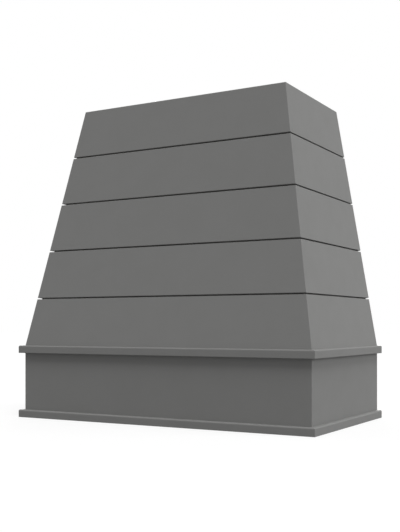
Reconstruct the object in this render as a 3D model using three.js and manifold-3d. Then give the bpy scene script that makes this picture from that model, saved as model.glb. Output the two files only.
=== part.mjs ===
// A wall-hung wooden range hood cover: a tapered body clad in shiplap boards, over a plain apron
// with a trim strip, rounded along its top edge, round its top and another round its foot.
//
// It is a cover and holds no fan. The back is open to the wall, the foot is open for a liner, and
// the top is open for the duct. Millimetres, +Z up, front towards -Y. The origin is on the floor
// of the bounding box, at its centre.
//
// Skin:   15 shiplap boards (5 courses round the front and both sides), 3 apron boards, 6 trims.
// Frame:  a plywood deck inside the apron's top, a plywood ring at the top of the body, and two
//         corner posts, two back stiles, two front ribs and two side ribs that lean with the body.
// Wall:   two hanging rails, the upper one let into the back stiles.
// Liner:  four rails round the inside of the apron's foot, and two glue blocks in its corners.

import * as THREE from "three";
import { mergeVertices } from "three/addons/utils/BufferGeometryUtils.js";
import Module from "manifold-3d";

const wasm = await Module();
wasm.setup();

// ---------------------------------------------------------------- driving dimensions

const APRON_WIDTH = 914; // 36 in, across the outer faces of the apron
const APRON_DEPTH = 502; // from the apron's front face to the wall
const APRON_HEIGHT = 210;
const BODY_HEIGHT = 707; // the tapered body, from the apron's top to the top of the hood
const TAPER = 127; // 5 in: how far the front and each side lean in over the body's height

const TRIM_HEIGHT = 22;
const TRIM_PROUD = 14; // how far a trim strip stands out of the apron
const TRIM_ROUND = 4; // its rounded top edge
const TRIM_EASE = 1.2; // its other edges, sanded
const TRIM_LAP = 2; // the upper trim covers the joint above the apron by this much

const COURSES = 5;
const BOARD = 14.3; // thickness of a shiplap board
const LIP = 9.3; // thickness of its front lip, which is the depth of the open joint
const LAP = 8; // how far the tongue of one board reaches up behind the lip of the next
const REVEAL = 4.2; // the open joint between two courses
const ARRIS = 0.8; // chamfer on the edges beside an open joint
const CORNER_RADIUS = 1; // the sanded front corners of the body and the apron

const PLY = 19; // apron boards, deck and top ring
const DECK_MARGIN = 80; // width of the deck round its opening
const RING_MARGIN = 50; // width of the top ring round its opening
const OPENING_RADIUS = 16; // inside corners left by the router

const POST = 38; // corner posts and back stiles are square
const RIB_WIDTH = 19; // the ribs stand on edge behind the boards
const RIB_DEPTH = 38;
const FRONT_RIB_AT = 152; // centre of a front rib, from the middle of the hood
const STICK_ARRIS = 1.5; // chamfer on the long edges of the frame's sticks

const RAIL = 19; // thickness of the hanging rails and liner rails
const HANGING_RAIL_HEIGHT = 89;
const REBATE = 9.5; // depth of the rebate in an apron side that takes the rails at the wall
const LINER_RAIL_HEIGHT = 38;
const LINER_RECESS = 25; // from the foot of the apron up to the liner rails
const GLUE_BLOCK = 45; // legs of the triangular blocks
const GLUE_BLOCK_CLEAR = 9; // from a block's ends to the deck above and the liner rail below

const SCREW_LENGTH = 45;
const SCREW_HEAD_RADIUS = 4.5;
const SCREW_HEAD_HEIGHT = 2.6;
const SCREW_SHANK_RADIUS = 2.25;
const SCREW_TIP = 6;
const SCREW_SIDES = 12;
const RAIL_SCREW_SPACING = 50; // between the two screws at each end of the upper hanging rail
const RAIL_SCREW_STAGGER = 9; // how far each stands off the middle of the stile, to either side

const GAP = 0.3; // a glue line or a running fit

// ---------------------------------------------------------------- derived sizes and places

const HALF_WIDTH = APRON_WIDTH / 2;
const WALL = (APRON_DEPTH + TRIM_PROUD) / 2; // Y of the wall plane
const FACE = WALL - APRON_DEPTH; // Y of the apron's front face
const TOP = APRON_HEIGHT + BODY_HEIGHT;
const DECK_BOTTOM = APRON_HEIGHT - PLY;
const LINER_TOP = LINER_RECESS + LINER_RAIL_HEIGHT;
const RING_BOTTOM = TOP - PLY;

const LEAN = TAPER / BODY_HEIGHT; // horizontal run for each millimetre of height
const SLANT = Math.atan(LEAN);
const SLOPE_LENGTH = BODY_HEIGHT / Math.cos(SLANT);
const PITCH = SLOPE_LENGTH / COURSES;
const SKIN = BOARD / Math.cos(SLANT) + GAP; // level distance from the body's face to its frame

const INSIDE_X = HALF_WIDTH - PLY; // inner faces of the apron boards
const INSIDE_Y = FACE + PLY;
const FRAME_X = HALF_WIDTH - SKIN; // outer faces of the frame, level with the apron's top
const FRAME_Y = FACE + SKIN;
const SCREW_GRIP = SCREW_LENGTH - PLY; // how far a screw reaches past the plywood
const BEYOND = 60; // how far a cutting tool stands past what it cuts
const MITRE_REACH = TAPER + BEYOND;

// ---------------------------------------------------------------- materials

const paint = new THREE.MeshStandardMaterial({ name: "grey_paint", color: 0x7c7c7a, roughness: 0.5 });
const plywood = new THREE.MeshStandardMaterial({ name: "birch_plywood", color: 0xd8bd92, roughness: 0.7 });
const timber = new THREE.MeshStandardMaterial({ name: "pale_timber", color: 0xcdb084, roughness: 0.75 });
const steel = new THREE.MeshStandardMaterial({
  name: "zinc_screw",
  color: 0xb9a873,
  roughness: 0.35,
  metalness: 1,
});

// ---------------------------------------------------------------- solids

function toSolid(geometry) {
  const bare = geometry.clone();
  bare.deleteAttribute("normal");
  bare.deleteAttribute("uv");
  const merged = mergeVertices(bare, 1e-4);
  const mesh = new wasm.Mesh({
    numProp: 3,
    vertProperties: merged.attributes.position.array,
    triVerts: merged.index.array,
  });
  return new wasm.Manifold(mesh);
}

function toGeometry(solid) {
  const mesh = solid.getMesh();
  const geometry = new THREE.BufferGeometry();
  geometry.setAttribute("position", new THREE.BufferAttribute(mesh.vertProperties, 3));
  geometry.setIndex(new THREE.BufferAttribute(mesh.triVerts, 1));
  const faceted = geometry.toNonIndexed();
  faceted.computeVertexNormals();
  return faceted;
}

function cut(geometry, ...tools) {
  return toGeometry(tools.reduce((left, tool) => left.subtract(toSolid(tool)), toSolid(geometry)));
}

function mirrored(geometry) {
  const other = geometry.index ? geometry.toNonIndexed() : geometry.clone();
  other.scale(-1, 1, 1);
  const position = other.getAttribute("position");
  const point = new THREE.Vector3();
  const next = new THREE.Vector3();
  for (let i = 0; i < position.count; i += 3) {
    point.fromBufferAttribute(position, i + 1);
    next.fromBufferAttribute(position, i + 2);
    position.setXYZ(i + 1, next.x, next.y, next.z);
    position.setXYZ(i + 2, point.x, point.y, point.z);
  }
  return other;
}

// A block between two corners.
function block(x0, x1, y0, y1, z0, z1) {
  const geometry = new THREE.BoxGeometry(x1 - x0, y1 - y0, z1 - z0);
  return geometry.translate((x0 + x1) / 2, (y0 + y1) / 2, (z0 + z1) / 2);
}

// An outline in plan, extruded upwards and leaning by leanX and leanY for each millimetre of
// height. The outline is true at the height called level.
function leaningPrism(outline, z0, z1, level, leanX, leanY) {
  const geometry = new THREE.ExtrudeGeometry(outline, { depth: z1 - z0, bevelEnabled: false });
  const shear = new THREE.Matrix4().set(
    1, 0, leanX, (z0 - level) * leanX,
    0, 1, leanY, (z0 - level) * leanY,
    0, 0, 1, z0,
    0, 0, 0, 1,
  );
  return geometry.applyMatrix4(shear);
}

// ---------------------------------------------------------------- mitred runs
//
// A board or trim is a profile, drawn as depth behind the apron's face against height. A front
// run is extruded along X and mitred at both ends; a side run is extruded along Y, from its mitre
// to the wall.

function polygon(points) {
  return new THREE.Shape(points.map(([a, b]) => new THREE.Vector2(a, b)));
}

function frontRun(profile, reach) {
  const geometry = new THREE.ExtrudeGeometry(profile, { depth: 2 * reach, bevelEnabled: false });
  const along = new THREE.Matrix4().makeBasis(
    new THREE.Vector3(0, 1, 0),
    new THREE.Vector3(0, 0, 1),
    new THREE.Vector3(1, 0, 0),
  );
  return geometry.applyMatrix4(along.setPosition(-reach, FACE, 0));
}

function sideRun(profile, reach) {
  const depth = APRON_DEPTH + reach;
  const geometry = new THREE.ExtrudeGeometry(profile, { depth, bevelEnabled: false });
  const along = new THREE.Matrix4().makeBasis(
    new THREE.Vector3(-1, 0, 0),
    new THREE.Vector3(0, 0, 1),
    new THREE.Vector3(0, 1, 0),
  );
  return geometry.applyMatrix4(along.setPosition(HALF_WIDTH, WALL - depth, 0));
}

// What a mitre saw and a sanding block take off one end: all that lies past the mitre, and the
// sharp corner outside a curve of the given radius. The outline is drawn from the corner, where
// the front face runs off to -X and the side face to +Y. Its two facets meet on the curve at 22.5
// degrees to the front face, and the second one runs straight out through that face.
function mitreOutline(radius, keepsFront) {
  const step = Math.PI / 8;
  const onCurve = (angle) => [
    -radius + radius * Math.sin(angle),
    radius - radius * Math.cos(angle),
  ];
  const back = GAP / 2 / Math.SQRT2;
  const [tipX, tipY] = onCurve(2 * step);
  const middle = onCurve(step);
  const far = MITRE_REACH;
  const out = [middle[0] - far * Math.cos(step / 2), middle[1] - far * Math.sin(step / 2)];
  const points = [
    [-far - back, far - back],
    [tipX - back, tipY - back],
    middle,
    out,
    [out[0], -far],
    [far, -far],
    [far, far],
  ];
  return keepsFront ? points : points.map(([x, y]) => [-y, -x]);
}

function mitreTool(proud, radius, lean, keepsFront) {
  const corner = mitreOutline(radius, keepsFront).map(([x, y]) => [
    x + HALF_WIDTH + proud,
    y + FACE - proud,
  ]);
  return leaningPrism(polygon(corner), -BEYOND, TOP + BEYOND, APRON_HEIGHT, -lean, lean);
}

function mitredFront(profile, proud, radius, lean) {
  const tool = mitreTool(proud, radius, lean, true);
  return cut(frontRun(profile, HALF_WIDTH + proud + GAP), tool, mirrored(tool));
}

function mitredSide(profile, proud, radius, lean) {
  return cut(sideRun(profile, proud + GAP), mitreTool(proud, radius, lean, false));
}

// ---------------------------------------------------------------- profiles

// A point of the leaning skin: so far up its slope, and so deep behind its face.
function onSlope(up, deep) {
  return [
    up * Math.sin(SLANT) + deep * Math.cos(SLANT),
    APRON_HEIGHT + up * Math.cos(SLANT) - deep * Math.sin(SLANT),
  ];
}

// A shiplap board. Its foot is rebated behind, which leaves the front lip, and its head carries
// the tongue that the next course laps over. The first foot and the last head are sawn level.
function shiplapProfile(course) {
  const foot = course * PITCH + REVEAL / 2;
  const head = (course + 1) * PITCH - REVEAL / 2;
  const tongueTop = head + REVEAL + LAP;
  const level = BOARD * Math.tan(SLANT);
  const atFoot =
    course === 0
      ? [[0, 0], [level, BOARD]]
      : [
          [foot + ARRIS, 0],
          [foot, ARRIS],
          [foot, LIP],
          [foot + LAP + GAP, LIP],
          [foot + LAP + GAP, BOARD],
        ];
  const atHead =
    course === COURSES - 1
      ? [[SLOPE_LENGTH + level, BOARD], [SLOPE_LENGTH, 0]]
      : [
          [tongueTop, BOARD],
          [tongueTop, LIP + GAP],
          [head, LIP + GAP],
          [head, ARRIS],
          [head - ARRIS, 0],
        ];
  return polygon([...atFoot, ...atHead].map(([up, deep]) => onSlope(up, deep)));
}

function trimProfile(bottom) {
  const top = bottom + TRIM_HEIGHT;
  const shape = new THREE.Shape();
  shape.moveTo(0, bottom);
  shape.lineTo(0, top);
  shape.lineTo(TRIM_ROUND - TRIM_PROUD, top);
  shape.absarc(TRIM_ROUND - TRIM_PROUD, top - TRIM_ROUND, TRIM_ROUND, Math.PI / 2, Math.PI, false);
  shape.lineTo(-TRIM_PROUD, bottom + TRIM_EASE);
  shape.absarc(TRIM_EASE - TRIM_PROUD, bottom + TRIM_EASE, TRIM_EASE, Math.PI, 1.5 * Math.PI, false);
  shape.closePath();
  return polygon(shape.extractPoints(3).shape.map(({ x, y }) => [x, y]));
}

function apronProfile() {
  return polygon([[0, 0], [PLY, 0], [PLY, APRON_HEIGHT], [0, APRON_HEIGHT]]);
}

// ---------------------------------------------------------------- plywood deck and top ring

function roundedOpening(x0, x1, y0, y1) {
  const r = OPENING_RADIUS;
  const hole = new THREE.Path();
  hole.moveTo(x0 + r, y0);
  hole.absarc(x1 - r, y0 + r, r, 1.5 * Math.PI, 2 * Math.PI, false);
  hole.absarc(x1 - r, y1 - r, r, 0, Math.PI / 2, false);
  hole.absarc(x0 + r, y1 - r, r, Math.PI / 2, Math.PI, false);
  hole.absarc(x0 + r, y0 + r, r, Math.PI, 1.5 * Math.PI, false);
  return new THREE.Shape(hole.getPoints(4));
}

function openingTool(halfWidth, front, back, z0, z1) {
  const outline = roundedOpening(-halfWidth, halfWidth, front, back);
  return leaningPrism(outline, z0 - BEYOND, z1 + BEYOND, 0, 0, 0);
}

// The deck drops into the apron with a running fit at its front and both ends.
function deckGeometry(screwTools) {
  const halfWidth = INSIDE_X - GAP;
  const panel = block(-halfWidth, halfWidth, INSIDE_Y + GAP, WALL, DECK_BOTTOM, APRON_HEIGHT);
  const opening = openingTool(
    INSIDE_X - DECK_MARGIN,
    INSIDE_Y + DECK_MARGIN,
    WALL - DECK_MARGIN,
    DECK_BOTTOM,
    APRON_HEIGHT,
  );
  return cut(panel, opening, ...screwTools);
}

// The ring's front and side edges are sawn to the lean of the body.
function ringGeometry(screwTools) {
  const panel = block(-1, 1, -1, 1, RING_BOTTOM, TOP);
  const position = panel.getAttribute("position");
  for (let i = 0; i < position.count; i += 1) {
    const z = position.getZ(i);
    const inset = LEAN * (z - APRON_HEIGHT);
    const y = position.getY(i) > 0 ? WALL : FRAME_Y + inset;
    position.setXYZ(i, Math.sign(position.getX(i)) * (FRAME_X - inset), y, z);
  }
  const opening = openingTool(
    FRAME_X - TAPER - RING_MARGIN,
    FRAME_Y + TAPER + RING_MARGIN,
    WALL - RING_MARGIN,
    RING_BOTTOM,
    TOP,
  );
  return cut(panel, opening, ...screwTools);
}

// ---------------------------------------------------------------- leaning sticks of the frame

function stickOutline(x0, x1, y0, y1) {
  const a = STICK_ARRIS;
  return polygon([
    [x0 + a, y0], [x1 - a, y0], [x1, y0 + a], [x1, y1 - a],
    [x1 - a, y1], [x0 + a, y1], [x0, y1 - a], [x0, y0 + a],
  ]);
}

// Each stick stands on the deck and ends under the top ring. Its section is given level with the
// apron's top, for the right-hand side of the hood. The side rib stands midway between the stile
// and the corner post, measured at half the body's height.
const sideRibY = (WALL + FRAME_Y + TAPER / 2) / 2;
const sticks = {
  corner_post: { x: [FRAME_X - POST, FRAME_X], y: [FRAME_Y, FRAME_Y + POST], lean: [-LEAN, LEAN] },
  front_rib: {
    x: [FRONT_RIB_AT - RIB_WIDTH / 2, FRONT_RIB_AT + RIB_WIDTH / 2],
    y: [FRAME_Y, FRAME_Y + RIB_DEPTH],
    lean: [0, LEAN],
  },
  side_rib: {
    x: [FRAME_X - RIB_DEPTH, FRAME_X],
    y: [sideRibY - RIB_WIDTH / 2, sideRibY + RIB_WIDTH / 2],
    lean: [-LEAN, 0],
  },
  back_stile: { x: [FRAME_X - POST, FRAME_X], y: [WALL - POST, WALL], lean: [-LEAN, 0] },
};

function stickGeometry({ x, y, lean }, tools) {
  const stick = leaningPrism(
    stickOutline(...x, ...y), APRON_HEIGHT, RING_BOTTOM, APRON_HEIGHT, ...lean,
  );
  return cut(stick, ...tools);
}

// ---------------------------------------------------------------- screws

// A countersunk wood screw, its head flush at the origin and its tip towards -Z. A hole for it
// is the same form, larger all round.
function screwForm(slack) {
  const head = SCREW_HEAD_RADIUS + slack;
  const shank = SCREW_SHANK_RADIUS + slack;
  const profile = [
    [0, -SCREW_LENGTH - slack],
    [shank, -SCREW_LENGTH + SCREW_TIP],
    [shank, -SCREW_HEAD_HEIGHT],
    [head, 0],
    ...(slack > 0 ? [[head, BEYOND / 10]] : []),
    [0, slack > 0 ? BEYOND / 10 : 0],
  ];
  const lathe = new THREE.LatheGeometry(profile.map(([r, z]) => new THREE.Vector2(r, z)), SCREW_SIDES);
  return toGeometry(toSolid(lathe.rotateX(Math.PI / 2)));
}

const screwGeometry = screwForm(0);
const screwHole = screwForm(GAP);

// Where each screw's head lies, and the turn that points it: up through the deck, down through
// the top ring, or forwards through the upper hanging rail.
const UP = new THREE.Euler(Math.PI, 0, 0);
const DOWN = new THREE.Euler(0, 0, 0);
const FORWARD = new THREE.Euler(-Math.PI / 2, 0, 0);

function stickCentre({ x, y, lean }, z) {
  const up = z - APRON_HEIGHT;
  return [(x[0] + x[1]) / 2 + lean[0] * up, (y[0] + y[1]) / 2 + lean[1] * up];
}

// A stile's screws keep to its front half, clear of the rail let into its back.
function screwCentre(name, z) {
  const [x, y] = stickCentre(sticks[name], z);
  return [x, name === "back_stile" ? WALL - RAIL - (POST - RAIL) / 2 : y];
}

const deckScrews = Object.keys(sticks).map((stick) => ({
  stick,
  name: `deck_screw_${stick}`,
  at: [...screwCentre(stick, APRON_HEIGHT + SCREW_GRIP / 2), DECK_BOTTOM],
  turn: UP,
}));

const ringScrews = ["corner_post", "back_stile"].map((stick) => ({
  stick,
  name: `ring_screw_${stick}`,
  at: [...screwCentre(stick, RING_BOTTOM), TOP],
  turn: DOWN,
}));

const railMiddle = RING_BOTTOM - HANGING_RAIL_HEIGHT / 2;
const railScrews = ["lower", "upper"].map((place, i) => {
  const z = railMiddle + (i - 0.5) * RAIL_SCREW_SPACING;
  return {
    stick: "back_stile",
    name: `rail_screw_${place}`,
    at: [stickCentre(sticks.back_stile, z)[0] + (2 * i - 1) * RAIL_SCREW_STAGGER, WALL, z],
    turn: FORWARD,
  };
});

function holeFor({ at, turn }) {
  return screwHole.clone().applyMatrix4(new THREE.Matrix4().makeRotationFromEuler(turn).setPosition(...at));
}

function holesOnBothSides(screws) {
  return screws.map(holeFor).flatMap((hole) => [hole, mirrored(hole)]);
}

// ---------------------------------------------------------------- rails and glue blocks

// The upper hanging rail runs behind both stiles, and its ends are sawn to the lean of the sides.
function upperRailGeometry() {
  const endAt = (z) => FRAME_X - LEAN * (z - APRON_HEIGHT);
  const bottom = RING_BOTTOM - HANGING_RAIL_HEIGHT;
  const outline = polygon([
    [-endAt(bottom), bottom],
    [endAt(bottom), bottom],
    [endAt(RING_BOTTOM), RING_BOTTOM],
    [-endAt(RING_BOTTOM), RING_BOTTOM],
  ]);
  const rail = new THREE.ExtrudeGeometry(outline, { depth: RAIL, bevelEnabled: false });
  rail.rotateX(Math.PI / 2).translate(0, WALL, 0);
  return cut(rail, ...holesOnBothSides(railScrews));
}

function stileNotch() {
  const bottom = RING_BOTTOM - HANGING_RAIL_HEIGHT;
  return block(0, HALF_WIDTH, WALL - RAIL, WALL + BEYOND, bottom, RING_BOTTOM + BEYOND);
}

function glueBlockGeometry() {
  const outline = polygon([
    [INSIDE_X, INSIDE_Y],
    [INSIDE_X, INSIDE_Y + GLUE_BLOCK],
    [INSIDE_X - GLUE_BLOCK, INSIDE_Y],
  ]);
  const bottom = LINER_TOP + GLUE_BLOCK_CLEAR;
  return leaningPrism(outline, bottom, DECK_BOTTOM - GLUE_BLOCK_CLEAR, 0, 0, 0);
}

// ---------------------------------------------------------------- the assembly

const hood = new THREE.Group();
const rightSide = new THREE.Group();
const leftSide = new THREE.Group();
leftSide.scale.x = -1;
hood.add(rightSide, leftSide);

function place(name, geometry, material) {
  const mesh = new THREE.Mesh(geometry, material.clone());
  mesh.name = name;
  hood.add(mesh);
  return mesh;
}

// The same piece on the right and, mirrored, on the left.
function placePair(name, geometry, material, at, turn) {
  for (const [side, group] of [["right", rightSide], ["left", leftSide]]) {
    const mesh = place(`${name}_${side}`, geometry, material);
    if (at) mesh.position.set(...at);
    if (turn) mesh.rotation.copy(turn);
    group.add(mesh);
  }
}

for (let course = 0; course < COURSES; course += 1) {
  const profile = shiplapProfile(course);
  place(`shiplap_${course + 1}_front`, mitredFront(profile, 0, CORNER_RADIUS, LEAN), paint);
  placePair(`shiplap_${course + 1}`, mitredSide(profile, 0, CORNER_RADIUS, LEAN), paint);
}

// A rebate down the back of each apron side, below the deck, takes the rails at the wall.
const railRebate = block(
  INSIDE_X - BEYOND, INSIDE_X + REBATE, WALL - RAIL, WALL + BEYOND, -BEYOND, DECK_BOTTOM,
);
place("apron_front", mitredFront(apronProfile(), 0, CORNER_RADIUS, 0), paint);
placePair("apron", cut(mitredSide(apronProfile(), 0, CORNER_RADIUS, 0), railRebate), paint);

const upperTrimBottom = APRON_HEIGHT + TRIM_LAP - TRIM_HEIGHT;
for (const [name, bottom] of [["lower_trim", 0], ["upper_trim", upperTrimBottom]]) {
  const profile = trimProfile(bottom);
  place(`${name}_front`, mitredFront(profile, TRIM_PROUD, TRIM_EASE, 0), paint);
  placePair(name, mitredSide(profile, TRIM_PROUD, TRIM_EASE, 0), paint);
}

place("deck", deckGeometry(holesOnBothSides(deckScrews)), plywood);
place("top_ring", ringGeometry(holesOnBothSides(ringScrews)), plywood);

for (const [name, stick] of Object.entries(sticks)) {
  const tools = [...deckScrews, ...ringScrews, ...railScrews]
    .filter((screw) => screw.stick === name)
    .map(holeFor);
  if (name === "back_stile") tools.push(stileNotch());
  placePair(name, stickGeometry(stick, tools), timber);
}

place("upper_hanging_rail", upperRailGeometry(), timber);
place(
  "lower_hanging_rail",
  block(
    -INSIDE_X - REBATE, INSIDE_X + REBATE, WALL - RAIL, WALL,
    DECK_BOTTOM - HANGING_RAIL_HEIGHT, DECK_BOTTOM,
  ),
  timber,
);

place(
  "liner_rail_front",
  block(-INSIDE_X, INSIDE_X, INSIDE_Y, INSIDE_Y + RAIL, LINER_RECESS, LINER_TOP),
  timber,
);
place(
  "liner_rail_back",
  block(-INSIDE_X - REBATE, INSIDE_X + REBATE, WALL - RAIL, WALL, LINER_RECESS, LINER_TOP),
  timber,
);
placePair(
  "liner_rail",
  block(INSIDE_X - RAIL, INSIDE_X, INSIDE_Y + RAIL, WALL - RAIL, LINER_RECESS, LINER_TOP),
  timber,
);
placePair("glue_block", glueBlockGeometry(), timber);

for (const { name, at, turn } of [...deckScrews, ...ringScrews, ...railScrews]) {
  placePair(name, screwGeometry, steel, at, turn);
}

export default hood;
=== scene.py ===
# %% [markdown]
# # A wooden range hood cover
#
# The real thing is painted joinery: five courses of shiplap boards wrapped round a leaning frame,
# over a straight apron with two trim strips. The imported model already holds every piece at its
# real size and place. This lesson keeps the hidden frame as it is, models the painted skin again
# with sanded corners and eased edges and the screws again with their threads, and gives everything
# its finish.
#
# All lengths are in metres. +X is to the right, +Y goes back to the wall, and +Z is up.

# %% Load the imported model
import math

import bpy
from mathutils import Matrix, Vector


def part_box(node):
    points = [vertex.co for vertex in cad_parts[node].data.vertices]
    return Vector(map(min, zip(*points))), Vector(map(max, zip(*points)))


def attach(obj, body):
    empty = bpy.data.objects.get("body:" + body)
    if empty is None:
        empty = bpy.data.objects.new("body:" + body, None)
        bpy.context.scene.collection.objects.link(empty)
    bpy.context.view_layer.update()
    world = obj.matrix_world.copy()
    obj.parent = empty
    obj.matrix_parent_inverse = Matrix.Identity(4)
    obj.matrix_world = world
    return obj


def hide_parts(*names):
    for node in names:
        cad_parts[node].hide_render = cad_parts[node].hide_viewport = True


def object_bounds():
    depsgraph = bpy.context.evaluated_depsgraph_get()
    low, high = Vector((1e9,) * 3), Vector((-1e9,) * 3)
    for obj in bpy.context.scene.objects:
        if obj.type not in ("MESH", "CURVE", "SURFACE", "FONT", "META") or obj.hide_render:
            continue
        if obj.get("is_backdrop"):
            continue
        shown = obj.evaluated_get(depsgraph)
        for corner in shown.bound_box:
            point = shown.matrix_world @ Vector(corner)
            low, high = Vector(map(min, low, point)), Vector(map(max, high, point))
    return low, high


MM = 0.001

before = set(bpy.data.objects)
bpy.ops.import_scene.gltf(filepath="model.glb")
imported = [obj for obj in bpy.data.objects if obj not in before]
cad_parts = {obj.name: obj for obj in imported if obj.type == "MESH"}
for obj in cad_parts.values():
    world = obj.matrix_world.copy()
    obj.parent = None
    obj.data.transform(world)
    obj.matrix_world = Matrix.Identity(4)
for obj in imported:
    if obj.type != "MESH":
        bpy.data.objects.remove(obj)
cad_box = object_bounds()
print("CAD nodes:", len(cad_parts))
print("CAD box, mm:", [[round(c / MM, 1) for c in corner] for corner in cad_box])

# %% [markdown]
# ## Sizes read off the model
#
# A piece fits when its sizes come from the pieces that are already there. The front apron board
# tells where the hood's face is and where the body starts to lean, and the top ring where it
# stops. The trim over the apron tells how high and how proud both trims are, and the box of the
# whole model gives the wall and the width. Only what a box can't tell, such as how a shiplap board
# is rebated, is written down as a number.

# %% Measure the frame
apron_low, apron_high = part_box("apron_front")
_, ring_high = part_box("top_ring")
trim_low, trim_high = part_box("upper_trim_front")

WALL = cad_box[1].y
FACE = apron_low.y
APRON_TOP = apron_high.z
TOP = ring_high.z
TRIM_PROUD = FACE - trim_low.y
TRIM_HEIGHT = trim_high.z - trim_low.z
HALF_WIDTH = cad_box[1].x - TRIM_PROUD

COURSES = 5  # rows of shiplap boards
TAPER = 127 * MM  # how far the body leans in, from its foot to its top
BOARD = 14.3 * MM  # thickness of a shiplap board
LIP = 9.3 * MM  # thickness of its front layer
LAP = 8 * MM  # how far a lip covers the tongue below it
REVEAL = 4.2 * MM  # width of the open joint between two boards
TONGUE_CLEARANCE = 0.3 * MM  # room between a tongue and the rebate over it
APRON_BOARD = 19 * MM  # thickness of the apron's plywood

SLANT = math.atan(TAPER / (TOP - APRON_TOP))
PITCH = (TOP - APRON_TOP) / math.cos(SLANT) / COURSES

print(f"apron {2 * HALF_WIDTH / MM:.1f} mm wide and {APRON_TOP / MM:.1f} high")
print(f"body from there to {TOP / MM:.1f} mm")
print(f"slant {math.degrees(SLANT):.2f} degrees, one course every {PITCH / MM:.1f} up the slope")

# %% [markdown]
# ## Pick what to work on
#
# Blender's operators work on whatever is selected, so each step says what that is. `take` puts one
# piece on the bench. `select_faces` and `select_edges` pick by place or direction, as an eye
# would. Their tests compare numbers that come out of cuts, so they allow a hair's breadth.

# %% Selecting
import bmesh

NEAR = 0.02 * MM  # two places closer than this are the same
ALIGNED = 0.99  # least cosine between a normal and the direction that it is said to face


def take(piece):
    """Makes this piece the only one that operators work on."""
    if bpy.context.mode != "OBJECT":
        bpy.ops.object.mode_set(mode="OBJECT")
    bpy.ops.object.select_all(action="DESELECT")
    piece.select_set(True)
    bpy.context.view_layer.objects.active = piece


def edit(piece):
    take(piece)
    bpy.ops.object.mode_set(mode="EDIT")


def finish_edit():
    bpy.ops.object.mode_set(mode="OBJECT")


def select_faces(test):
    """In edit mode, selects the faces whose centre and normal pass the test."""
    bpy.ops.mesh.select_mode(type="FACE")
    bpy.ops.mesh.select_all(action="DESELECT")
    data = bpy.context.edit_object.data
    mesh = bmesh.from_edit_mesh(data)
    mesh.normal_update()
    for face in mesh.faces:
        if test(face.calc_center_median(), face.normal):
            face.select_set(True)
    bmesh.update_edit_mesh(data)


def select_edges(test):
    """In edit mode, selects the edges whose two ends pass the test."""
    bpy.ops.mesh.select_mode(type="EDGE")
    bpy.ops.mesh.select_all(action="DESELECT")
    data = bpy.context.edit_object.data
    mesh = bmesh.from_edit_mesh(data)
    for edge in mesh.edges:
        if test(edge.verts[0].co, edge.verts[1].co):
            edge.select_set(True)
    bmesh.update_edit_mesh(data)


def facing(direction):
    """A test for faces that look in this direction."""
    aim = Vector(direction).normalized()
    return lambda at, normal: normal.dot(aim) > ALIGNED


# %% [markdown]
# ## Cut, pull and build
#
# `score` and `saw` are both the bisect operator: one only marks the cut, and the other throws away
# the side that the normal points to and caps what is left. `pull` is the extrude operator. A
# modifier is applied as soon as it is set, so that the next cut works on its result.

# %% Tools


def score(point, normal):
    """Cuts new edges round the mesh where a plane passes, and keeps both sides."""
    bpy.ops.mesh.select_all(action="SELECT")
    bpy.ops.mesh.bisect(plane_co=point, plane_no=normal, threshold=NEAR)


def saw(point, waste):
    """Cuts all of the mesh, drops the side that waste points to and caps the cut."""
    bpy.ops.mesh.select_all(action="SELECT")
    bpy.ops.mesh.bisect(plane_co=point, plane_no=waste, clear_outer=True, threshold=NEAR)
    bpy.ops.mesh.select_mode(type="EDGE")
    bpy.ops.mesh.select_all(action="SELECT")
    bpy.ops.mesh.remove_doubles(threshold=NEAR)
    bpy.ops.mesh.select_all(action="DESELECT")
    bpy.ops.mesh.select_non_manifold()
    bpy.ops.mesh.fill_holes(sides=0)


def pull(x=0, y=0, z=0):
    """Extrudes the selected faces."""
    bpy.ops.mesh.extrude_region_move(TRANSFORM_OT_translate={"value": (x, y, z)})


def block(name, low, high):
    """A cube primitive, sized and placed between two corners."""
    bpy.ops.object.select_all(action="DESELECT")
    low, high = Vector(low), Vector(high)
    bpy.ops.mesh.primitive_cube_add(size=1, location=(low + high) / 2)
    piece = bpy.context.object
    piece.name = name
    piece.scale = high - low
    bpy.ops.object.transform_apply(location=True, rotation=True, scale=True)
    return piece


def use_modifier(piece, kind, **settings):
    """Adds a modifier, sets it and applies it."""
    take(piece)
    modifier = piece.modifiers.new(kind.lower(), kind)
    for setting, value in settings.items():
        setattr(modifier, setting, value)
    bpy.ops.object.modifier_apply(modifier=modifier.name)


# %% [markdown]
# ## A shiplap board, before it is cut to length
#
# In section a shiplap board is two layers, half a step apart. The front layer ends in a lip at
# the foot, and the back layer goes on as a tongue at the head, which the next board's lip hides.
# The open joint that you see is where one lip stops short of the next, and its floor is the
# tongue.
#
# The board is made as a joiner makes it: planed square, rebated, and then leant to the slope. It
# starts as the front layer, a block. The back layer is extruded from the block's back face, above
# a cut that leaves the lip free, and the tongue is extruded from the back layer's head.

# %% Plane and rebate one board
SPARE = 60 * MM  # extra length at each end, for the saw


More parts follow.
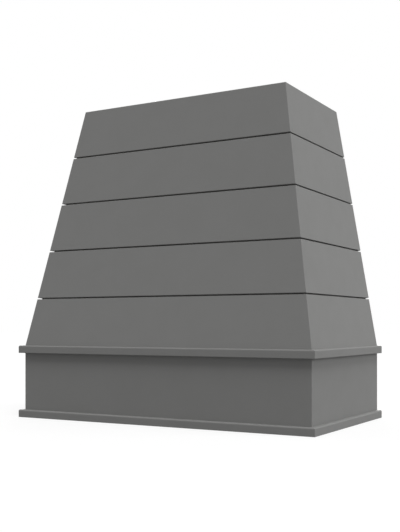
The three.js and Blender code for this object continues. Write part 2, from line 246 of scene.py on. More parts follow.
def rebated_bar(name, course):
    """A length of shiplap for the right-hand side, upright, with its face in the plane X = 0."""
    foot = course * PITCH + REVEAL / 2
    head = (course + 1) * PITCH - REVEAL / 2
    if course == 0:
        foot -= BOARD
    if course == COURSES - 1:
        head += BOARD
    bar = block(name, (-LIP, FACE - SPARE, foot), (0, WALL + SPARE, head))
    faces_in, faces_up = facing((-1, 0, 0)), facing((0, 0, 1))
    edit(bar)
    if course > 0:
        shoulder = foot + LAP + TONGUE_CLEARANCE
        score((0, 0, shoulder), (0, 0, 1))
        select_faces(lambda at, normal: faces_in(at, normal) and at.z > shoulder)
    else:
        select_faces(faces_in)
    pull(x=LIP - BOARD)
    if course < COURSES - 1:
        tongue_face = -LIP - TONGUE_CLEARANCE
        score((tongue_face, 0, 0), (-1, 0, 0))
        select_faces(lambda at, normal: faces_up(at, normal) and at.x < tongue_face)
        pull(z=REVEAL + LAP)
    finish_edit()
    return bar


def lean(bar):
    """Leans an upright bar back to the slope of the body, on the top edge of the apron."""
    bar.rotation_euler = (0, -SLANT, 0)
    bar.location = (HALF_WIDTH, 0, APRON_TOP)
    take(bar)
    bpy.ops.object.transform_apply(location=True, rotation=True, scale=True)
    edit(bar)
    saw((0, 0, APRON_TOP), (0, 0, -1))
    saw((0, 0, TOP), (0, 0, 1))
    finish_edit()


# %% [markdown]
# ## Round the corners without a joint that shows
#
# The three boards of a course are mitred and glued, and the corner is sanded round after the
# glue is dry, so the curve runs across the joint. The model follows the same order. The side bar
# is sawn at 45 degrees, and the sawn face is extruded along the front to the other mitre and
# from there back to the wall. That gives one U-shaped run, on which the bevel operator rounds
# both corners. Only then is the run sawn into a left, a front and a right board.
#
# Both mitres are upright planes at 45 degrees, also on the leaning body, because it leans in as
# much at the sides as at the front.

# %% Wrap, sand and saw
MITRE_RIGHT = (HALF_WIDTH, FACE, 0)
MITRE_LEFT = (-HALF_WIDTH, FACE, 0)
CORNER_RADIUS = 1 * MM
CORNER_STEPS = 6
EASED = 0.4 * MM
EASED_STEPS = 2
SHARP = math.radians(40)  # an edge that turns by more than this is a corner


def wrap(bar):
    """Carries a right-hand bar round the front and the left side of the hood."""
    edit(bar)
    saw(MITRE_RIGHT, (-1, -1, 0))
    select_faces(facing((-1, -1, 0)))
    pull(x=-2 * HALF_WIDTH - SPARE)
    saw(MITRE_LEFT, (-1, 1, 0))
    select_faces(facing((-1, 1, 0)))
    pull(y=WALL - FACE + SPARE)
    saw((0, WALL, 0), (0, 1, 0))
    finish_edit()


def skin_at(z):
    """How far the body's face has leant in at this height."""
    return max(0, z - APRON_TOP) * math.tan(SLANT)


def on_front_corner(point):
    """Whether a point lies on one of the two outer front corners."""
    inset = skin_at(point.z)
    across = abs(abs(point.x) - (HALF_WIDTH - inset))
    return across < NEAR and abs(point.y - (FACE + inset)) < NEAR


def sand_front_corners(run):
    edit(run)
    select_edges(lambda a, b: on_front_corner(a) and on_front_corner(b))
    bpy.ops.mesh.bevel(offset=CORNER_RADIUS, segments=CORNER_STEPS, affect="EDGES")
    finish_edit()


def ease(run):
    """Takes the sharpness off every edge."""
    use_modifier(
        run,
        "BEVEL",
        width=EASED,
        segments=EASED_STEPS,
        limit_method="ANGLE",
        angle_limit=SHARP,
    )


def smooth(piece):
    """Rounds look round and flats stay flat."""
    take(piece)
    bpy.ops.object.shade_smooth_by_angle(angle=SHARP)
    use_modifier(piece, "WEIGHTED_NORMAL", keep_sharp=True)


# %% [markdown]
# ## Three boards from one run
#
# A copy of the run is sawn for each board, so the three meet exactly, with the curve of the corner
# running on from one to the next. Each board then takes the place of its CAD node, and says which
# body it rides on.

# %% Saw a run into boards
# The waste side of each cut that frees one board from the run.
CUTS = {
    "right": [(MITRE_RIGHT, (-1, -1, 0))],
    "front": [(MITRE_RIGHT, (1, 1, 0)), (MITRE_LEFT, (-1, 1, 0))],
    "left": [(MITRE_LEFT, (1, -1, 0))],
}
skin = []  # each finished board, with the side it is on


def copy_of(piece, name):
    twin = piece.copy()
    twin.data = piece.data.copy()
    twin.name = name
    bpy.context.scene.collection.objects.link(twin)
    return twin


def saw_into_boards(run, piece_name, node_name):
    """Makes the three boards of a run, each standing for its CAD node."""
    for side, cuts in CUTS.items():
        board = copy_of(run, piece_name.format(side))
        edit(board)
        for point, waste in cuts:
            saw(point, waste)
        finish_edit()
        smooth(board)
        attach(board, "root")
        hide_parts(node_name.format(side))
        skin.append((board, side))
        print(f"{board.name}: {len(board.data.polygons)} faces")
    bpy.data.objects.remove(run)


# %% [markdown]
# ## Five courses
#
# Before they are cut, the five courses differ only in their height up the slope, in the rebate that
# the lowest one lacks and in the tongue that the highest one lacks. So one loop makes them all.

# %% Make the five courses
for course in range(COURSES):
    run = rebated_bar(f"run_{course + 1}", course)
    lean(run)
    wrap(run)
    sand_front_corners(run)
    ease(run)
    saw_into_boards(run, f"board_{course + 1}_{{}}", f"shiplap_{course + 1}_{{}}")

# %% [markdown]
# ## The apron
#
# The apron is three plywood boards, wrapped in the same way but upright. Inside each side board, at
# the wall, a rebate takes the ends of the rails. A boolean with a block is the Blender twin of
# running a router along that edge. The block's size comes from the rail that goes there.

# %% Make the apron
liner_rail_low, liner_rail_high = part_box("liner_rail_back")
deck_low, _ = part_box("deck")

run = block(
    "run_apron",
    (HALF_WIDTH - APRON_BOARD, FACE - SPARE, 0),
    (HALF_WIDTH, WALL + SPARE, APRON_TOP),
)
wrap(run)
sand_front_corners(run)
router = block(
    "router",
    (liner_rail_low.x, liner_rail_low.y, -SPARE),
    (liner_rail_high.x, WALL + SPARE, deck_low.z),
)
use_modifier(run, "BOOLEAN", object=router, operation="DIFFERENCE", solver="EXACT")
bpy.data.objects.remove(router)
ease(run)
saw_into_boards(run, "apron_board_{}", "apron_{}")

# %% [markdown]
# ## The trim strips
#
# A trim strip is a bar planted on the apron. The top edge is rounded over with a router, and the
# corners and the foot are only taken off with sandpaper. The router goes first, as at the bench,
# so the sanding follows each corner up and over the round. The strip's ends at the wall stay
# square. The upper strip stands a little above the apron, to hide the joint with the body.

# %% Make the two trims
TRIM_ROUND = 4 * MM
TRIM_ROUND_STEPS = 6
TRIM_EASE = 1.2 * MM
TRIM_EASE_STEPS = 3


def on_trim_face(point):
    """Whether a point lies on the outer face of a trim run."""
    outer_x = abs(abs(point.x) - HALF_WIDTH - TRIM_PROUD) < NEAR
    outer_y = abs(point.y - FACE + TRIM_PROUD) < NEAR
    return outer_x or outer_y


def along_face(level):
    """A test for the long outer edges of a trim run at this height, without its two ends."""
    return lambda a, b: (
        on_trim_face(a)
        and on_trim_face(b)
        and abs(a.z - level) < NEAR
        and abs(b.z - level) < NEAR
        and min(a.y, b.y) < WALL - NEAR
    )


def at_trim_corner(foot, head):
    """A test for the edges that climb a front corner of a trim run, up to its flat top."""

    def on_corner(point):
        in_mitre = abs(abs(point.x) - HALF_WIDTH + point.y - FACE) < NEAR
        return in_mitre and abs(point.x) > HALF_WIDTH + TRIM_PROUD - TRIM_ROUND - NEAR

    def climbs(a, b):
        same_corner = a.x * b.x > 0
        return same_corner and max(a.z, b.z) > foot + NEAR and min(a.z, b.z) < head - NEAR

    return lambda a, b: on_corner(a) and on_corner(b) and climbs(a, b)


for place, foot in {"lower": 0, "upper": trim_low.z}.items():
    head = foot + TRIM_HEIGHT
    run = block(
        f"run_trim_{place}",
        (HALF_WIDTH, FACE - SPARE, foot),
        (HALF_WIDTH + TRIM_PROUD, WALL + SPARE, head),
    )
    wrap(run)
    edit(run)
    select_edges(along_face(head))
    bpy.ops.mesh.bevel(offset=TRIM_ROUND, segments=TRIM_ROUND_STEPS, affect="EDGES")
    at_foot, at_corner = along_face(foot), at_trim_corner(foot, head)
    select_edges(lambda a, b: at_foot(a, b) or at_corner(a, b))
    bpy.ops.mesh.bevel(offset=TRIM_EASE, segments=TRIM_EASE_STEPS, affect="EDGES")
    finish_edit()
    saw_into_boards(run, f"trim_{place}_{{}}", f"{place}_trim_{{}}")

# %% [markdown]
# ## Screws
#
# The frame is held by flat-head wood screws with a star recess. One is modelled and then copied.
# It starts as a thin cylinder, the rim of the head. The cone of the head, the core and the point
# are drawn out of the cylinder's lower face, and the recess is inset and sunk into the upper one.

# %% Model the body of a screw
SCREW_LENGTH = 45 * MM
SCREW_SIDES = 24
HEAD_RADIUS = 4.5 * MM
HEAD_HEIGHT = 2.6 * MM
RIM = 0.35 * MM
CORE_RADIUS = 1.55 * MM  # of the steel under the thread
TIP_LENGTH = 6 * MM
TIP_WIDTH = 0.05  # what is left of the core at its point, as a share
RECESS_RADIUS = 2.3 * MM
RECESS_DEPTH = 1.6 * MM
RECESS_TAPER = 0.9  # the width of its floor, as a share of its mouth
STAR_POINTS = 6
STAR_WAVE = 0.16  # how far the star's outline swings to either side, as a share of its radius


def scale_selected(factor, centre):
    bpy.ops.transform.resize(value=factor, center_override=centre)


def model_screw():
    """One screw with its head's face in the plane Z = 0 and its tip towards -Z."""
    bpy.ops.object.select_all(action="DESELECT")
    bpy.ops.mesh.primitive_cylinder_add(
        vertices=SCREW_SIDES, radius=HEAD_RADIUS, depth=RIM, location=(0, 0, -RIM / 2)
    )
    screw = bpy.context.object
    bpy.ops.object.transform_apply(location=True, rotation=True, scale=True)
    edit(screw)

    # The head's cone, the core and the point, each drawn out of the last.
    select_faces(facing((0, 0, -1)))
    shrink = CORE_RADIUS / HEAD_RADIUS
    pull(z=RIM - HEAD_HEIGHT)
    scale_selected((shrink, shrink, 1), (0, 0, -HEAD_HEIGHT))
    pull(z=HEAD_HEIGHT + TIP_LENGTH - SCREW_LENGTH)
    pull(z=-TIP_LENGTH)
    scale_selected((TIP_WIDTH, TIP_WIDTH, 1), (0, 0, -SCREW_LENGTH))

    # The star recess: an inset ring, its corners moved in and out in waves, then sunk.
    select_faces(facing((0, 0, 1)))
    bpy.ops.mesh.inset(thickness=HEAD_RADIUS - RECESS_RADIUS)
    mesh = bmesh.from_edit_mesh(screw.data)
    recess = next(face for face in mesh.faces if face.select)
    for i, corner in enumerate(recess.verts):
        turn = i * STAR_POINTS / SCREW_SIDES * math.tau
        reach = 1 - STAR_WAVE + STAR_WAVE * math.cos(turn)
        corner.co.x *= reach
        corner.co.y *= reach
    bmesh.update_edit_mesh(screw.data)
    pull(z=-RECESS_DEPTH)
    scale_selected((RECESS_TAPER, RECESS_TAPER, 1), (0, 0, -RECESS_DEPTH))
    finish_edit()
    return screw


# %% [markdown]
# ## The thread
#
# A thread is a ridge that climbs round the core. The Screw modifier is made for this: it sweeps a
# small triangle round the axis and up at the same time. The sweep leaves both ends open, so they
# are filled, and the normals are made to point out of the ridge.

# %% Model the thread and join it on
THREAD_PITCH = 2.2 * MM
THREAD_LENGTH = 28 * MM
THREAD_STEPS = 12  # in one turn
RIDGE_RADIUS = 0.55 * MM  # of the triangle that is swept
RIDGE_OFFSET = 0.15 * MM  # how far its centre lies outside the core


def model_thread():
    """A ridge that climbs round the core, from a triangle swept by the Screw modifier."""
    bpy.ops.object.select_all(action="DESELECT")
    bpy.ops.mesh.primitive_circle_add(vertices=3, radius=RIDGE_RADIUS, fill_type="NGON")
    thread = bpy.context.object
    thread.rotation_euler = (math.pi / 2, 0, 0)
    thread.location = (CORE_RADIUS + RIDGE_OFFSET, 0, TIP_LENGTH - SCREW_LENGTH)
    bpy.ops.object.transform_apply(location=True, rotation=True, scale=True)
    turns = round(THREAD_LENGTH / THREAD_PITCH)
    use_modifier(
        thread,
        "SCREW",
        angle=math.tau * turns,
        screw_offset=THREAD_PITCH * turns,
        steps=THREAD_STEPS * turns,
        render_steps=THREAD_STEPS * turns,
        use_merge_vertices=True,
        use_smooth_shade=False,
    )
    edit(thread)
    bpy.ops.mesh.select_mode(type="EDGE")
    bpy.ops.mesh.select_all(action="DESELECT")
    bpy.ops.mesh.select_non_manifold()
    bpy.ops.mesh.fill_holes(sides=0)
    bpy.ops.mesh.select_all(action="SELECT")
    bpy.ops.mesh.normals_make_consistent(inside=False)
    finish_edit()
    return thread


screw = model_screw()
thread = model_thread()
take(screw)
thread.select_set(True)
bpy.ops.object.join()
smooth(screw)
print("screw:", len(screw.data.polygons), "faces")

# %% [markdown]
# ## Put the screws where they go
#
# The first word of a CAD screw's name says what it goes through, and so which way it points, and
# its box says where. Each copy gets its own mesh and its own turn, because nobody stops every
# screw at the same angle.

# %% Copy the screws
GOLDEN_TURN = math.radians(137.5)  # from one screw to the next, so that no two look alike
TURN_HEAD_DOWN = Matrix.Rotation(math.pi, 4, "X")
TURN_HEAD_BACK = Matrix.Rotation(-math.pi / 2, 4, "X")


def screw_place(node):
    """Where the head's face lies, and the turn that makes it face outwards."""
    low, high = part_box(node)
    middle = (low + high) / 2
    if node.startswith("deck"):
        return Vector((middle.x, middle.y, low.z)), TURN_HEAD_DOWN
    if node.startswith("ring"):
        return Vector((middle.x, middle.y, high.z)), Matrix.Identity(4)
    return Vector((middle.x, high.y, middle.z)), TURN_HEAD_BACK


screws = []
for i, node in enumerate(sorted(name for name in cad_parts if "_screw_" in name)):
    place, turn = screw_place(node)
    twin = copy_of(screw, f"{node}_threaded")
    spin = Matrix.Rotation(i * GOLDEN_TURN, 4, "Z")
    twin.data.transform(Matrix.Translation(place) @ turn @ spin)
    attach(twin, "root")
    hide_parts(node)
    screws.append(twin)
bpy.data.objects.remove(screw)
print(len(screws), "screws")

# %% [markdown]
# ## Materials from nodes
#
# Every finish below is a small node tree that reads Object coordinates, so a pattern has a real
# size and stays where it is when the piece moves. `add` makes a node, sets its sockets and links
# any socket that is handed in instead of a number.

# %% Colours, nodes and materials


def srgb(red, green, blue):
    """A colour given in screen values, as the linear value that a shader takes."""

    def linear(value):
        value = value / 255
        return value / 12.92 if value <= 0.04045 else ((value + 0.055) / 1.055) ** 2.4

    return (linear(red), linear(green), linear(blue), 1)


def add(tree, kind, inputs=(), **settings):
    """Adds a shader node. An input is a value, or another node's output to link."""
    node = tree.nodes.new("ShaderNode" + kind)
    for name, value in settings.items():
        setattr(node, name, value)
    for socket, value in dict(inputs).items():
        if isinstance(value, bpy.types.NodeSocket):
            tree.links.new(value, node.inputs[socket])
        else:
            node.inputs[socket].default_value = value
    return node


def new_material(name, roughness=0.5, metallic=0.0):
    """An empty Principled material, with its tree, shader and Object coordinates."""
    material = bpy.data.materials.new(name)
    material.use_nodes = True
    tree = material.node_tree
    shader = tree.nodes["Principled BSDF"]
    shader.inputs["Roughness"].default_value = roughness
    shader.inputs["Metallic"].default_value = metallic
    place = add(tree, "TexCoord").outputs["Object"]
    return material, tree, shader, place


# %% [markdown]
# ## Patterns
#
# Most patterns take four small steps: stretch the coordinates, take a noise, remap its grey to the
# range that is wanted, and mix two colours by it. A noise's grey seldom goes below 0.3 or above
# 0.7, so a remap often starts from these. A last helper turns a grey into a bump.

# %% Pattern helpers


def stretch(tree, place, x, y, z):
    """Coordinates multiplied along each axis, so that a pattern gets finer that way."""
    node = add(tree, "VectorMath", {0: place, 1: (x, y, z)}, operation="MULTIPLY")
    return node.outputs["Vector"]


def noise(tree, place, scale, detail=2.0):
    node = add(tree, "TexNoise", {"Vector": place, "Scale": scale, "Detail": detail})
    return node.outputs["Fac"]


def remap(tree, value, low, high, new_low, new_high):
    node = add(
        tree,
        "MapRange",
        {"Value": value, "From Min": low, "From Max": high, "To Min": new_low, "To Max": new_high},
    )
    return node.outputs["Result"]


def mix_colors(tree, factor, first, second, blend="MIX"):
    node = add(tree, "Mix", {"Factor": factor}, data_type="RGBA", blend_type=blend)
    for socket, value in (("A", first), ("B", second)):
        slot = next(s for s in node.inputs if s.name == socket and s.type == "RGBA")
        if isinstance(value, bpy.types.NodeSocket):
            tree.links.new(value, slot)
        else:
            slot.default_value = value
    return next(s for s in node.outputs if s.type == "RGBA")


def bump(tree, shader, height, distance, strength):
    """Adds a bump to the shader, on top of any bump that it has already."""
    node = add(tree, "Bump", {"Height": height, "Distance": distance, "Strength": strength})
    normal = shader.inputs["Normal"]
    if normal.is_linked:
        tree.links.new(normal.links[0].from_socket, node.inputs["Normal"])
    tree.links.new(node.outputs["Normal"], normal)


# %% [markdown]
# ## Grey paint
#
# The skin is sprayed with a grey of low sheen. Close up such a coat is never quite even. It has an
# orange-peel texture a millimetre or two across, a little of the wood's grain still shows as long
# shallow ridges under it, its sheen drifts by a few per cent, and its tone by a little less.

# %% Make the paint
PAINT_LIGHT = srgb(136, 136, 135)
PAINT_DARK = srgb(134.8, 134.8, 133.7)
PAINT_SPECULAR = 0.06
PAINT_SMOOTHEST, PAINT_ROUGHEST = 0.53, 0.59
GRAIN_ALONG, GRAIN_ACROSS = 6, 260  # noise cells in a metre of the board
GRAIN_DEPTH = 0.12 * MM
PEEL_SCALE = 700  # noise cells in a metre
PEEL_DEPTH = 0.08 * MM


def grey_paint(name, along):
    """The paint over boards whose grain runs along X or Y."""
    material, tree, shader, place = new_material(name)
    shader.inputs["Specular IOR Level"].default_value = PAINT_SPECULAR
    drift = remap(tree, noise(tree, place, 14, detail=4), 0.35, 0.65, 0, 1)
    tone = mix_colors(tree, drift, PAINT_DARK, PAINT_LIGHT)
    tree.links.new(tone, shader.inputs["Base Color"])

    patches = noise(tree, place, 26, detail=4)
    sheen = remap(tree, patches, 0.3, 0.7, PAINT_SMOOTHEST, PAINT_ROUGHEST)
    tree.links.new(sheen, shader.inputs["Roughness"])

    cells = {axis: GRAIN_ACROSS for axis in "XYZ"}
    cells[along] = GRAIN_ALONG
    grain = noise(tree, stretch(tree, place, *cells.values()), 1, detail=2)
    bump(tree, shader, grain, GRAIN_DEPTH, strength=0.7)
    bump(tree, shader, noise(tree, place, PEEL_SCALE, detail=1), PEEL_DEPTH, strength=0.8)
    return material


paint_along_x = grey_paint("grey_paint_front", "X")
paint_along_y = grey_paint("grey_paint_sides", "Y")
print("paint:", paint_along_x.name, "and", paint_along_y.name)

# %% [markdown]
# ## Bare timber
#
# Inside, the boards and the sticks are bare. Growth rings are bands that run along the piece, bent
# by a slow noise, and the fibres are a noise that is stretched much more. Because the pattern is
# solid, the same rings come out as arcs and lines on a sawn end. Each direction that a stick runs
# in has its own material, turned so that the grain follows it.

# %% Make the timber
TIMBER_PALE = srgb(222, 196, 152)
TIMBER_RING = srgb(190, 148, 96)
TIMBER_DEEP = srgb(205, 172, 124)
RING_STRETCH = 0.09  # along the grain, which draws the rings out into long bands
RING_SCALE = 80
RING_BEND = 38
FIBRES_ALONG, FIBRES_ACROSS = 18, 900  # noise cells in a metre
FIBRE_DEPTH = 0.12 * MM


def timber(name, along):
    """Planed softwood whose grain runs in the direction along."""
    material, tree, shader, place = new_material(name)
    turn = Vector(along).to_track_quat("Z", "Y").inverted().to_euler()
    straight = add(tree, "Mapping", {"Vector": place, "Rotation": turn}).outputs["Vector"]

    rings = add(
        tree,
        "TexWave",
        {
            "Vector": stretch(tree, straight, 1, 1, RING_STRETCH),
            "Scale": RING_SCALE,
            "Distortion": RING_BEND,
            "Detail": 2,
            "Detail Scale": 0.16,
            "Detail Roughness": 0.45,
        },
        wave_type="BANDS",
        bands_direction="DIAGONAL",
        wave_profile="SAW",
    ).outputs["Fac"]
    late_wood = remap(tree, rings, 0.45, 1.0, 0, 0.85)
    ringed = mix_colors(tree, late_wood, TIMBER_PALE, TIMBER_RING)

    patches = remap(tree, noise(tree, straight, 7, detail=2), 0.35, 0.7, 0, 0.6)
    warm = mix_colors(tree, patches, ringed, TIMBER_DEEP)
    cells = stretch(tree, straight, FIBRES_ACROSS, FIBRES_ACROSS, FIBRES_ALONG)
    fibres = noise(tree, cells, 1, detail=3)
    shade = remap(tree, fibres, 0.3, 0.7, 0.84, 1.06)
    shade_color = add(tree, "CombineColor", {"Red": shade, "Green": shade, "Blue": shade})
    tone = mix_colors(tree, 1.0, warm, shade_color.outputs["Color"], blend="MULTIPLY")
    tree.links.new(tone, shader.inputs["Base Color"])

    tree.links.new(remap(tree, fibres, 0.3, 0.7, 0.62, 0.78), shader.inputs["Roughness"])
    bump(tree, shader, fibres, FIBRE_DEPTH, strength=0.5)
    return material


LEAN = math.tan(SLANT)
timber_x = timber("bare_timber_along_x", (1, 0, 0))
timber_y = timber("bare_timber_along_y", (0, 1, 0))
timber_upright = timber("bare_timber_upright", (0, 0, 1))
stick_leans = {
    "corner_post_right": (-LEAN, LEAN, 1),
    "corner_post_left": (LEAN, LEAN, 1),
    "back_stile_right": (-LEAN, 0, 1),
    "back_stile_left": (LEAN, 0, 1),
    "front_rib_right": (0, LEAN, 1),
}
stick_timber = {name: timber(f"bare_timber_{name}", along) for name, along in stick_leans.items()}
# The other three sticks each lean the same way as one of these.
stick_timber["side_rib_right"] = stick_timber["back_stile_right"]
stick_timber["side_rib_left"] = stick_timber["back_stile_left"]
stick_timber["front_rib_left"] = stick_timber["front_rib_right"]
print("timber: 3 level or upright grains and", len(stick_leans), "leaning ones")

# %% [markdown]
# ## Birch plywood
#
# A plywood face is one wide peeled sheet, pale, with lazy grain and short darker flecks. Its edge
# is what gives it away: thin sheets laid crosswise, so light and dark lines take turns, with a
# thread of glue between. Which of the two shows is decided by the surface's own normal. Where it
# looks across the panel's thickness, it is an edge.

# %% Make the plywood
BIRCH_PALE = srgb(228, 204, 164)
BIRCH_GRAIN = srgb(206, 172, 124)
PLY_END_GRAIN = srgb(168, 122, 76)
PLY_SHEETS = 13
PLY_SHEET = APRON_BOARD / PLY_SHEETS
SHEET_STRETCH = 0.12  # along the grain, for the lazy waves of a peeled sheet
FLECKS_ALONG, FLECKS_ACROSS = 14, 500  # noise cells in a metre
FLECK_DEPTH = 0.06 * MM


def plywood(name, grain, thickness):
    """Plywood with its face grain along one axis and its thickness along another."""
    material, tree, shader, place = new_material(name, roughness=0.62)
    fine = {axis: FLECKS_ACROSS for axis in "XYZ"}
    fine[grain] = FLECKS_ALONG
    lazy = {axis: 1 for axis in "XYZ"}
    lazy[grain] = SHEET_STRETCH
    waves = add(
        tree,
        "TexWave",
        {
            "Vector": stretch(tree, place, *lazy.values()),
            "Scale": 17,
            "Distortion": 24,
            "Detail": 2,
            "Detail Scale": 0.55,
        },
        bands_direction="DIAGONAL",
    ).outputs["Fac"]
    sheet = mix_colors(tree, remap(tree, waves, 0.2, 1, 0, 0.42), BIRCH_PALE, BIRCH_GRAIN)
    flecks = noise(tree, stretch(tree, place, *fine.values()), 1, detail=2)
    face = mix_colors(tree, remap(tree, flecks, 0.58, 0.75, 0, 0.5), sheet, BIRCH_GRAIN)

    separate = add(tree, "SeparateXYZ", {"Vector": place})
    layer = add(
        tree, "Math", {0: separate.outputs[thickness], 1: math.pi / PLY_SHEET}, operation="MULTIPLY"
    )
    beat = add(tree, "Math", {0: layer.outputs["Value"]}, operation="SINE").outputs["Value"]
    stripes = remap(tree, beat, -0.35, 0.35, 0, 1)
    rough_end = remap(tree, noise(tree, place, 700, detail=2), 0.3, 0.7, 0.55, 1)
    darkness = add(tree, "Math", {0: stripes, 1: rough_end}, operation="MULTIPLY")
    edge = mix_colors(tree, darkness.outputs["Value"], BIRCH_PALE, PLY_END_GRAIN)

    normal = add(tree, "SeparateXYZ", {"Vector": add(tree, "TexCoord").outputs["Normal"]})
    steep = add(tree, "Math", {0: normal.outputs[thickness]}, operation="ABSOLUTE")
    is_edge = add(tree, "Math", {0: steep.outputs["Value"], 1: 0.5}, operation="LESS_THAN")
    tone = mix_colors(tree, is_edge.outputs["Value"], face, edge)
    tree.links.new(tone, shader.inputs["Base Color"])
    bump(tree, shader, flecks, FLECK_DEPTH, strength=0.5)
    return material


plywood_level = plywood("birch_plywood_level", grain="X", thickness="Z")
plywood_side = plywood("birch_plywood_side", grain="Y", thickness="X")
plywood_front = plywood("birch_plywood_front", grain="X", thickness="Y")
print(f"plywood: {PLY_SHEETS} sheets of {PLY_SHEET / MM:.2f} mm")

# %% [markdown]
# ## Zinc plate
#
# The screws are steel with a yellow zinc plate, which shines unevenly and takes tiny pits.

# %% Make the zinc
ZINC_BRIGHT = srgb(214, 200, 150)
ZINC_DULL = srgb(178, 160, 110)
ZINC_SMOOTHEST, ZINC_ROUGHEST = 0.26, 0.42
PIT_DEPTH = 0.02 * MM

zinc, tree, shader, place = new_material("yellow_zinc", roughness=0.35, metallic=1.0)
cloud = remap(tree, noise(tree, place, 600, detail=3), 0.35, 0.65, 0, 1)
tree.links.new(mix_colors(tree, cloud, ZINC_DULL, ZINC_BRIGHT), shader.inputs["Base Color"])
shine = remap(tree, cloud, 0, 1, ZINC_ROUGHEST, ZINC_SMOOTHEST)
tree.links.new(shine, shader.inputs["Roughness"])
bump(tree, shader, noise(tree, place, 4000), PIT_DEPTH, strength=0.4)
print("zinc:", zinc.name)

# %% [markdown]
# ## Give every piece its finish
#
# Paint covers what a spray gun reaches on the finished hood: the outer faces, the joints between
# the boards, and the top and bottom edges. The faces that look into the hood or at the wall stay
# bare, so a skin board has two materials, shared out by which way each of its faces looks.

# %% Assign the materials
INWARD = {"right": Vector((-1, 0, 0)), "front": Vector((0, 1, 0)), "left": Vector((1, 0, 0))}
LOOKS_IN = 0.5  # least cosine between a bare face's normal and the way inwards
faces_wall = facing((0, 1, 0))


def is_bare(side, polygon):
    """Whether a face looks into the hood or sits against the wall."""
    in_wall_plane = polygon.center.y > WALL - NEAR
    at_wall = in_wall_plane and faces_wall(polygon.center, polygon.normal)
    return at_wall or polygon.normal.dot(INWARD[side]) > LOOKS_IN


for piece, side in skin:
    plywood_here = plywood_front if side == "front" else plywood_side
    timber_here = timber_x if side == "front" else timber_y
    piece.data.materials.clear()
    piece.data.materials.append(paint_along_x if side == "front" else paint_along_y)
    piece.data.materials.append(plywood_here if "apron" in piece.name else timber_here)
    for polygon in piece.data.polygons:
        polygon.material_index = 1 if is_bare(side, polygon) else 0

for piece in screws:
    piece.data.materials.clear()
    piece.data.materials.append(zinc)

frame_finish = {
    "deck": plywood_level,
    "top_ring": plywood_level,
    "upper_hanging_rail": timber_x,
    "lower_hanging_rail": timber_x,
    "liner_rail_front": timber_x,
    "liner_rail_back": timber_x,
    "liner_rail_left": timber_y,
    "liner_rail_right": timber_y,
    "glue_block_left": timber_upright,
    "glue_block_right": timber_upright,
    **stick_timber,
}
for name, material in frame_finish.items():
    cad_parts[name].material_slots[0].material = material
print("finished:", len(skin) + len(screws) + len(frame_finish), "pieces")

# %% [markdown]
# ## Camera
#
# The photograph was taken level, from near the foot of the hood and to its right, and its frame
# was then shifted up, which keeps the upright lines upright. Blender's `shift_y` does the same.

# %% Set the camera
EYE = (1.2706, -2.2187, 0.2715)
TURNED_LEFT = math.radians(29.78)
FRAME_SIDE = 36  # the longer side of the frame, in millimetres
FOCAL_LENGTH = 58.53  # in millimetres
SHIFT_RIGHT, SHIFT_UP = 0.0006, 0.1117  # as shares of the longer side

camera_data = bpy.data.cameras.new("camera")
camera_data.lens = FOCAL_LENGTH
camera_data.sensor_width = FRAME_SIDE
camera_data.shift_x = SHIFT_RIGHT
camera_data.shift_y = SHIFT_UP
camera = bpy.data.objects.new("camera", camera_data)
camera.location = EYE
camera.rotation_euler = (math.pi / 2, 0, TURNED_LEFT)
bpy.context.scene.collection.objects.link(camera)
bpy.context.scene.camera = camera
print(f"camera: {FOCAL_LENGTH} mm, {EYE[2]} m above the foot of the hood")

# %% [markdown]
# ## Light and ground
#
# In the photograph each flat face has one even tone, with no falloff along it. That is what far
# lamps do, so these are suns, wide ones for soft edges. A high one over the right front corner
# makes the leaning faces lighter than the upright ones and leaves the deep shade under the upper
# trim. A low one at the right brightens that side and looks into its open joints. Two low fills
# light the left side and the open back, which the photograph does not show. The world adds an
# even level, and turns pure white only for what the camera or a reflection sees.

# %% Set the lights
SCENE = bpy.context.scene
SCENE.view_settings.view_transform = "Standard"
SUN_WIDTH = math.radians(30)
SUN_DISTANCE = 3  # only to see the lamps in the viewport: a sun shines the same from anywhere
WORLD_LEVEL = 0.36


def sun(name, azimuth, elevation, strength):
    """A far lamp. Azimuth 0 shines from the right, -90 from the front and 90 from the wall."""
    data = bpy.data.lights.new(name, "SUN")
    data.angle = SUN_WIDTH
    data.energy = strength
    light = bpy.data.objects.new(name, data)
    around, up = math.radians(azimuth), math.radians(elevation)
    level = math.cos(up)
    source = Vector((math.cos(around) * level, math.sin(around) * level, math.sin(up)))
    light.rotation_euler = source.to_track_quat("Z", "Y").to_euler()
    light.location = source * SUN_DISTANCE
    SCENE.collection.objects.link(light)
    print(f"{name}: azimuth {azimuth}, elevation {elevation}, strength {strength}")


sun("corner_high", azimuth=-45, elevation=65, strength=1.84)
sun("side_low", azimuth=20, elevation=20, strength=0.84)
sun("left_fill", azimuth=180, elevation=5, strength=0.85)
sun("back_fill", azimuth=118, elevation=6, strength=1.6)


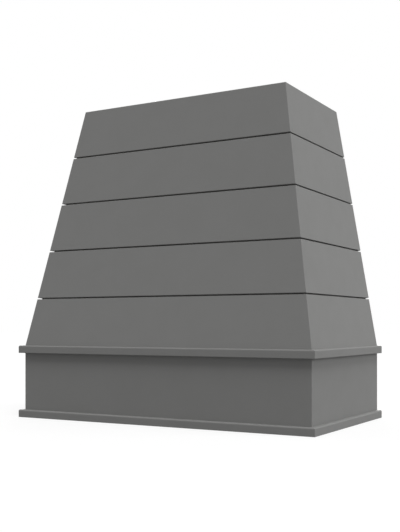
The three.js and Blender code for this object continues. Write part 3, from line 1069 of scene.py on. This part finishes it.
def white_for_eye(tree):
    """1 for a ray from the camera, a reflection or a view through glass, and otherwise 0."""
    path = add(tree, "LightPath").outputs
    seen = add(
        tree, "Math", {0: path["Is Camera Ray"], 1: path["Is Glossy Ray"]}, operation="MAXIMUM"
    )
    either = add(
        tree,
        "Math",
        {0: seen.outputs["Value"], 1: path["Is Transmission Ray"]},
        operation="MAXIMUM",
    )
    return either.outputs["Value"]


world = bpy.data.worlds.new("white_studio")
SCENE.world = world
world.use_nodes = True
tree = world.node_tree
background = tree.nodes["Background"]
background.inputs["Color"].default_value = (1, 1, 1, 1)
strength = remap(tree, white_for_eye(tree), 0, 1, WORLD_LEVEL, 1)
tree.links.new(strength, background.inputs["Strength"])

# %% [markdown]
# ## The floor
#
# The photograph has a white ground. A truly white floor would throw a lot of light up at the hood,
# so this one is darker to the lamps, and a glow that only the eye and reflections see makes up the
# rest. Where the hood keeps the lamps off it, less than white comes back, and that is its shadow.

# %% Lay the floor
FLOOR_SIZE = 40  # in metres
FLOOR_DROP = 0.5 * MM  # below the foot, so that the two don't share a plane
FLOOR_TONE = 0.3
FLOOR_GLOW = 0.71

bpy.ops.object.select_all(action="DESELECT")
floor_level = cad_box[0].z - FLOOR_DROP
bpy.ops.mesh.primitive_plane_add(size=FLOOR_SIZE, location=(0, 0, floor_level))
floor = bpy.context.object
floor.name = "floor"
bpy.ops.object.transform_apply(location=True, rotation=True, scale=True)
material, tree, shader, place = new_material("white_floor", roughness=0.9)
shader.inputs["Base Color"].default_value = (FLOOR_TONE, FLOOR_TONE, FLOOR_TONE, 1)
shader.inputs["Specular IOR Level"].default_value = 0
shader.inputs["Emission Color"].default_value = (1, 1, 1, 1)
glow = remap(tree, white_for_eye(tree), 0, 1, 0, FLOOR_GLOW)
tree.links.new(glow, shader.inputs["Emission Strength"])
floor.data.materials.append(material)
floor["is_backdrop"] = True
print(f"floor: {FLOOR_SIZE} m across")

# %% [markdown]
# ## Print the size
#
# The dressed hood should fill the same box as the model, so both boxes are printed.

# %% Finish
visual_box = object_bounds()
sizes = {"cad": [list(c) for c in cad_box], "visual": [list(c) for c in visual_box]}
for name, corners in sizes.items():
    print(name, [[round(c / MM, 2) for c in corner] for corner in corners])
